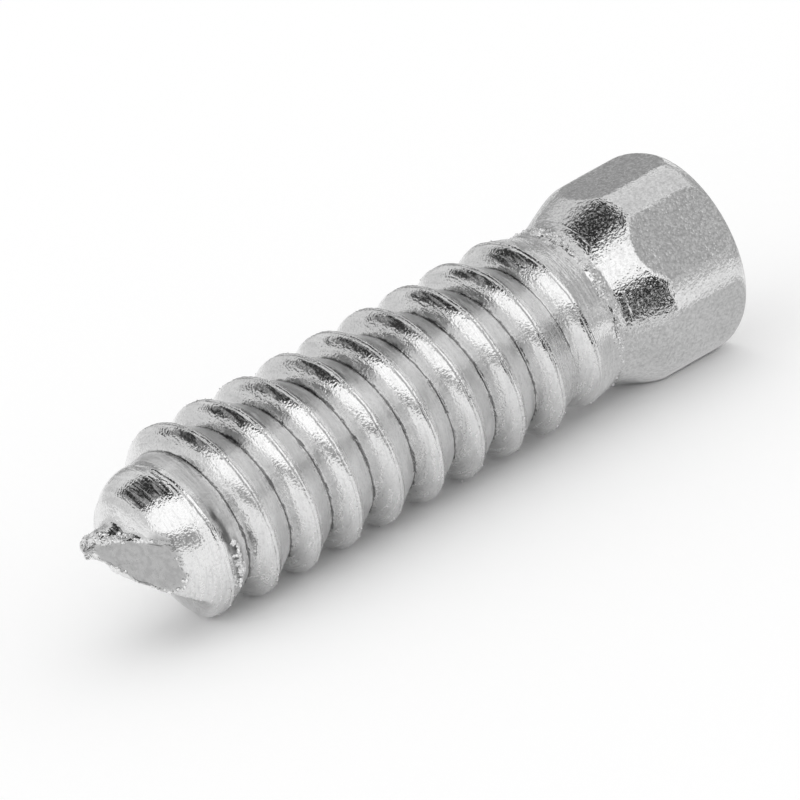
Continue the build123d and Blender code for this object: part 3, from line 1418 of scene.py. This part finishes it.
@dataclass(frozen=True)
class PlatedSteel:
    """Bright zinc plating on rolled steel, duller and darker where it was sheared or scuffed, and with
    painted shade.

    The scales are waves in a metre, and the shares say how far each mark reaches its colour.
    """

    bright: Colour = (0.83, 0.83, 0.83, 1.0)
    dull: Colour = (0.74, 0.74, 0.74, 1.0)
    # Darker tone for grit, streaks and pebbles, also used as painted shade on the back flanks.
    stain_and_shade: Colour = (0.45, 0.45, 0.45, 1.0)
    torn: Colour = (0.40, 0.40, 0.40, 1.0)
    # Near-black painted shade for the root line, the seam, the creases, the groove by the flake and the
    # pits.
    painted_shade: Colour = (0.10, 0.10, 0.10, 1.0)
    smooth: float = 0.09
    rough: float = 0.17
    torn_rough: float = 0.08
    back_rough: float = 0.20
    cloud_scale: float = 700.0
    peel_scale: float = 6500.0
    grit_scale: float = 15000.0
    streak_scale: float = 13000.0
    streak_stretch: Place = (1.0, 0.10, 0.10)
    pebble_scale: float = 9000.0
    pit_scale: float = 5200.0
    pit_patch_scale: float = 1500.0
    dull_share: float = 0.6
    grit_share: float = 0.30
    streak_share: float = 0.22
    pebble_share: float = 0.30
    root_share: float = 0.9
    pit_share: float = 0.45
    back_metal_loss: float = 0.18
    chip_metal_loss: float = 0.30
    bump_strength: float = 0.5
    bump_distance: float = 0.00002

    def textures(self, shader: Shader) -> Dict[str, Socket]:
        """The noises that the finish is made of.

        Args:
            shader: the material's tree.

        Returns:
            Each one's socket by name.
        """
        place = shader.add("ShaderNodeTexCoord", output="Object")
        streaked = shader.stretched(place, self.streak_stretch)
        cells = {"Vector": place, "Scale": self.pit_scale}
        pits = shader.add("ShaderNodeTexVoronoi", {"feature": "F1"}, cells, "Distance")
        patch = shader.noise(place, self.pit_patch_scale, 2.0)
        cloud = shader.noise(place, self.cloud_scale, 4.0)
        return {
            "cloud": cloud,
            "worn": cloud.between(0.35, 0.7),
            "peel": shader.noise(place, self.peel_scale, 1.5, 0.5),
            "grit": shader.noise(place, self.grit_scale, 1.0, 0.5),
            "streak": shader.noise(streaked, self.streak_scale, 1.5, 0.55),
            "pebble": shader.noise(place, self.pebble_scale, 2.0, 0.6),
            "pit": (1 - pits.between(0.06, 0.20)) * patch.between(0.62, 0.72),
        }

    def colour(self, shader: Shader, texture: Dict[str, Socket], mark: Dict[str, Socket]) -> Socket:
        """Colour of the metal.

        Args:
            shader: the material's tree.
            texture: the noises.
            mark: the mesh's marks.

        Returns:
            The colour.
        """
        gritty = (1 - texture["grit"].between(0.30, 0.52)) * self.grit_share
        streaked = (1 - texture["streak"].between(0.30, 0.46)) * (1 - mark["head"]) * self.streak_share
        pebbled = mark["head"] * (1 - texture["pebble"].between(0.36, 0.56)) * self.pebble_share
        sheared = mark["shear"] * (0.84 + 0.16 * (1 - texture["peel"].between(0.35, 0.6)))
        # Painted shade: the back flanks' colour is darkened.
        behind = mark["back"] * (0.10 + 0.45 * (1 - texture["cloud"].between(0.40, 0.60)))
        colour = shader.mix_colour(texture["worn"] * self.dull_share, self.bright, self.dull)
        colour = shader.mix_colour(gritty, colour, self.stain_and_shade)
        colour = shader.mix_colour(streaked, colour, self.stain_and_shade)
        colour = shader.mix_colour(pebbled, colour, self.stain_and_shade)
        colour = shader.mix_colour(sheared, colour, self.torn)
        colour = shader.mix_colour(behind, colour, self.stain_and_shade)
        # Painted shade: near-black along the root line, the seam, the creases and the groove by the flake,
        # and in the pits.
        colour = shader.mix_colour(mark["root"].between(0.30, 0.80) * self.root_share, colour, self.painted_shade)
        return shader.mix_colour(texture["pit"] * self.pit_share, colour, self.painted_shade)

    def relief(self, shader: Shader, texture: Dict[str, Socket], mark: Dict[str, Socket]) -> Socket:
        """Fine relief of the surface, too small for the mesh.

        Args:
            shader: the material's tree.
            texture: the noises.
            mark: the mesh's marks.

        Returns:
            The bumped normal.
        """
        peel, grit, head = texture["peel"], texture["grit"], mark["head"]
        height = peel * (0.25 + 0.55 * head) + grit * 0.9
        height = height + texture["streak"] * (1 - head) * 1.2
        height = height + mark["rim"] * peel * 0.9 + mark["shear"] * peel * 0.8
        height = height - texture["pit"] * 0.8 + mark["crest"] * grit + head * texture["pebble"] * 1.4
        values = {"Strength": self.bump_strength, "Distance": self.bump_distance, "Height": height}
        return shader.add("ShaderNodeBump", None, values, "Normal")

    def material(self) -> bpy.types.Material:
        """Builds the node material.

        Returns:
            The material.
        """
        made, shader = new_material("plated_steel")
        texture = self.textures(shader)
        mark = {name: shader.attribute(name) for name in MARKS}
        head, behind = mark["head"], mark["back"]
        roughness = self.smooth + (self.rough - self.smooth) * texture["worn"]
        roughness = roughness + self.torn_rough * mark["shear"] + self.back_rough * behind
        scuffed = texture["streak"].between(0.50, 0.60) * (1 - head) * 0.24
        scuffed = scuffed + texture["grit"].between(0.50, 0.62) * (0.08 + 0.12 * head)
        metallic = 1 - self.back_metal_loss * behind - scuffed - self.chip_metal_loss * mark["chip"]
        values = {
            "Base Color": self.colour(shader, texture, mark),
            "Metallic": metallic,
            "Roughness": roughness,
            "Normal": self.relief(shader, texture, mark),
        }
        surface = shader.add("ShaderNodeBsdfPrincipled", None, values, "BSDF")
        shader.add("ShaderNodeOutputMaterial", None, {"Surface": surface})
        return made


# Studio


class Level(Enum):
    """How bright a card looks in the metal."""

    BLACK = 0.03
    DIM = 0.36
    MIDDLE = 0.46
    PALE = 0.58
    LIGHT = 0.72
    BOX = 1.22


@dataclass
class Card:
    """A card between four corners that only reflections see, with edges that fade over a share of its width.

    Where it has no distance, its corners are places in millimetres. Otherwise they are directions from the
    screw, and the distance is in metres.
    """

    name: str
    level: Level
    soft: float
    distance: float
    corners: Tuple[Place, Place, Place, Place]

    def build(self, centre: Vector) -> bpy.types.Object:
        """Builds the card.

        Args:
            centre: the middle of the screw.

        Returns:
            The card's mesh.
        """
        u, v = np.meshgrid(np.linspace(0, 1, 49), np.linspace(0, 1, 33))
        first, second, third, fourth = (np.array(corner) for corner in self.corners)
        low = first + (second - first) * u[..., None]
        high = fourth + (third - fourth) * u[..., None]
        points = low + (high - low) * v[..., None]
        if self.distance:
            points /= np.linalg.norm(points, axis=-1, keepdims=True)
            points = np.array(centre) + self.distance * points
        else:
            points = points * MM
        index = np.arange(u.size).reshape(u.shape)
        mesh = bpy.data.meshes.new(self.name)
        mesh.from_pydata(points.reshape(-1, 3).tolist(), [], quads(index).tolist())
        shade = step(np.minimum(u, 1 - u), 0, self.soft) * step(np.minimum(v, 1 - v), 0, self.soft)
        cover = mesh.attributes.new("cover", "FLOAT", "POINT")
        cover.data.foreach_set("value", shade.reshape(-1).astype(np.float32))
        card = bpy.data.objects.new(self.name, mesh)
        bpy.context.scene.collection.objects.link(card)
        card.data.materials.append(self._material())
        card.visible_camera = False
        card.visible_diffuse = False
        card.visible_shadow = False
        return card

    def _material(self) -> bpy.types.Material:
        """Even emission that fades out at the card's edges.

        Returns:
            The material.
        """
        made, shader = new_material(self.name)
        glow = shader.add("ShaderNodeEmission", None, {"Strength": self.level.value})
        clear = shader.add("ShaderNodeBsdfTransparent")
        cover = shader.attribute("cover")
        surface = shader.add("ShaderNodeMixShader", None, {0: cover, 1: clear, 2: glow})
        shader.add("ShaderNodeOutputMaterial", None, {"Surface": surface})
        return made


@dataclass
class Studio:
    """Pale floor, white surroundings and the cards."""

    floor_radius: float = 1.5
    floor_sides: int = 96
    floor_colour: Colour = (1.0, 1.0, 1.0, 1.0)
    floor_rough: float = 0.9
    surround: float = 1.0

    def near_cards(self) -> List[Card]:
        """The cards that stand or lie on the floor round the screw.

        Returns:
            The cards.
        """
        return [
            Card("near_flag", Level.BLACK, 0.1, 0.0,
                 ((-2, -14, 0.1), (9, -14, 0.1), (9, -15, 6.6), (-2, -15, 6.6))),
            Card("ground_flag", Level.BLACK, 0.1, 0.0,
                 ((2, -14.2, 0.1), (8.5, -14.2, 0.1), (8.5, -6.2, 0.1), (4.0, -6.2, 0.1))),
            Card("ground_head", Level.PALE, 0.15, 0.0,
                 ((5, -6, 0.06), (14, -6, 0.06), (14, -0.5, 0.06), (5, -0.5, 0.06))),
            Card("ground_front", Level.PALE, 0.08, 0.0,
                 ((8.8, -120, 0.12), (120, -120, 0.12), (60, -6.2, 0.12), (9.2, -6.2, 0.12))),
            Card("ground_end", Level.MIDDLE, 0.05, 0.0,
                 ((14.5, -30, 0.14), (120, -30, 0.14), (120, 40, 0.14), (14.5, 40, 0.14))),
        ]

    def far_cards(self) -> List[Card]:
        """The cards that stand round the screw at a distance, from the nearest to the furthest.

        Returns:
            The cards.
        """
        return [
            Card("low_flag", Level.DIM, 0.12, 0.036,
                 ((-0.99, -0.13, -0.05), (-0.30, -0.95, -0.10), (-0.30, -0.95, 0.26), (-0.99, -0.13, 0.06))),
            Card("softbox", Level.BOX, 0.05, 0.40,
                 ((-1, 0.02, 0.06), (0.10, -0.95, 0.24), (0.16, -0.50, 0.87), (-0.90, 0.10, 0.50))),
            Card("overhead_flag", Level.BLACK, 0.07, 0.44,
                 ((-0.90, 0.05, 0.46), (0.16, -0.52, 0.84), (0.16, 0.34, 0.94), (-0.50, 0.78, 0.36))),
            Card("front_right", Level.MIDDLE, 0.06, 0.50,
                 ((0.24, -1, -0.02), (0.9, -0.80, -0.02), (0.82, -0.30, 0.80), (0.20, -0.34, 0.74))),
            Card("upper_right", Level.LIGHT, 0.08, 0.51,
                 ((0.24, -0.30, 0.80), (0.80, -0.24, 0.60), (0.75, 0.34, 0.62), (0.22, 0.40, 0.90))),
            Card("back_right", Level.DIM, 0.08, 0.52,
                 ((0.20, 0.44, 0.72), (0.85, 0.34, 0.50), (0.80, 1, 0.0), (0.10, 1, 0.0))),
            Card("end_card", Level.MIDDLE, 0.10, 0.53,
                 ((0.86, -0.74, -0.04), (0.86, 0.70, -0.04), (0.90, 0.55, 0.62), (0.90, -0.60, 0.62))),
            Card("back_card", Level.LIGHT, 0.05, 0.55,
                 ((-1, 0.0, 0.0), (-1, 0.0, 1), (0.5, 0.5, 1), (0.5, 1, 0.0))),
        ]

    def build(self, centre: Vector) -> None:
        """Builds the floor, the cards and the world.

        Args:
            centre: the middle of the screw.
        """
        self._floor()
        for card in self.near_cards() + self.far_cards():
            built = card.build(centre)
            LOG.info("%s: %s", built.name, card.level.name.lower())
        self._world()

    def _floor(self) -> None:
        """Round level floor."""
        angle = np.radians(np.linspace(0, 360, self.floor_sides + 1)[:-1])
        rim = np.stack([self.floor_radius * np.cos(angle), self.floor_radius * np.sin(angle), 0 * angle], -1)
        mesh = bpy.data.meshes.new("floor")
        mesh.from_pydata(rim.tolist(), [], [list(range(len(rim)))])
        floor = bpy.data.objects.new("floor", mesh)
        bpy.context.scene.collection.objects.link(floor)
        floor.data.materials.append(self._floor_material())
        LOG.info("%s: %.1f m across", floor.name, 2 * self.floor_radius)

    def _floor_material(self) -> bpy.types.Material:
        """Matt pale floor.

        Returns:
            The material.
        """
        made, shader = new_material("floor_paper")
        values = {"Base Color": self.floor_colour, "Roughness": self.floor_rough, "Specular IOR Level": 0.0}
        surface = shader.add("ShaderNodeBsdfPrincipled", None, values, "BSDF")
        shader.add("ShaderNodeOutputMaterial", None, {"Surface": surface})
        return made

    def _world(self) -> None:
        """Even white surroundings."""
        world = bpy.data.worlds.new("surround")
        world.use_nodes = True
        bpy.context.scene.world = world
        shader = Shader(world.node_tree)
        values = {"Color": (1.0, 1.0, 1.0, 1.0), "Strength": self.surround}
        glow = shader.add("ShaderNodeBackground", None, values)
        shader.add("ShaderNodeOutputWorld", None, {"Surface": glow})


@dataclass
class Lens:
    """The camera, set by how the screw is seen. Angles are in degrees and lengths in millimetres."""

    view_tilt: float = 61.3
    image_turn: float = 29.3
    facing_angle: float = 66.5
    aim_height: float = 10.358
    aim_side: float = -0.045
    distance: float = 264.131
    focal_length: float = 450.0
    sensor_width: float = 36.0

    def build(self, axes: Axes) -> bpy.types.Object:
        """Places the camera.

        Args:
            axes: the screw's directions.

        Returns:
            The camera.
        """
        tilt, turn = math.radians(self.view_tilt), math.radians(self.image_turn)
        facing, beside = axes.radial(self.facing_angle), axes.radial(self.facing_angle + 90)
        across = axes.along * math.sin(tilt) + facing * math.cos(tilt)
        back = facing * math.sin(tilt) - axes.along * math.cos(tilt)
        right = across * math.cos(turn) + beside * math.sin(turn)
        up = across * math.sin(turn) - beside * math.cos(turn)
        target = axes.point + axes.along * self.aim_height * MM + beside * self.aim_side * MM
        data = bpy.data.cameras.new("camera")
        data.sensor_width = self.sensor_width
        data.lens = self.focal_length
        data.clip_start, data.clip_end = 0.01, 10.0
        camera = bpy.data.objects.new("camera", data)
        bpy.context.scene.collection.objects.link(camera)
        turned = Matrix((right, up, back)).transposed().to_4x4()
        camera.matrix_world = Matrix.Translation(target + back * self.distance * MM) @ turned
        bpy.context.scene.camera = camera
        return camera


def main() -> None:
    """Builds the screw, the studio and the camera."""
    logging.basicConfig(level=logging.INFO, format="%(name)s: %(message)s")
    bpy.context.scene.view_settings.view_transform = "Standard"
    screw = StudScrew()
    piece = screw.build()
    piece.data.materials.append(PlatedSteel().material())
    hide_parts("stud_screw")
    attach(piece, "root")
    LOG.info("%s: %d triangles", piece.name, sum(len(face.vertices) - 2 for face in piece.data.polygons))
    low, high = CAD_BOX
    Studio().build((low + high) / 2)
    camera = Lens().build(screw.axes)
    LOG.info("%s: %.3f m over the floor", camera.name, camera.matrix_world.translation.z)


if __name__ == "__main__":
    main()
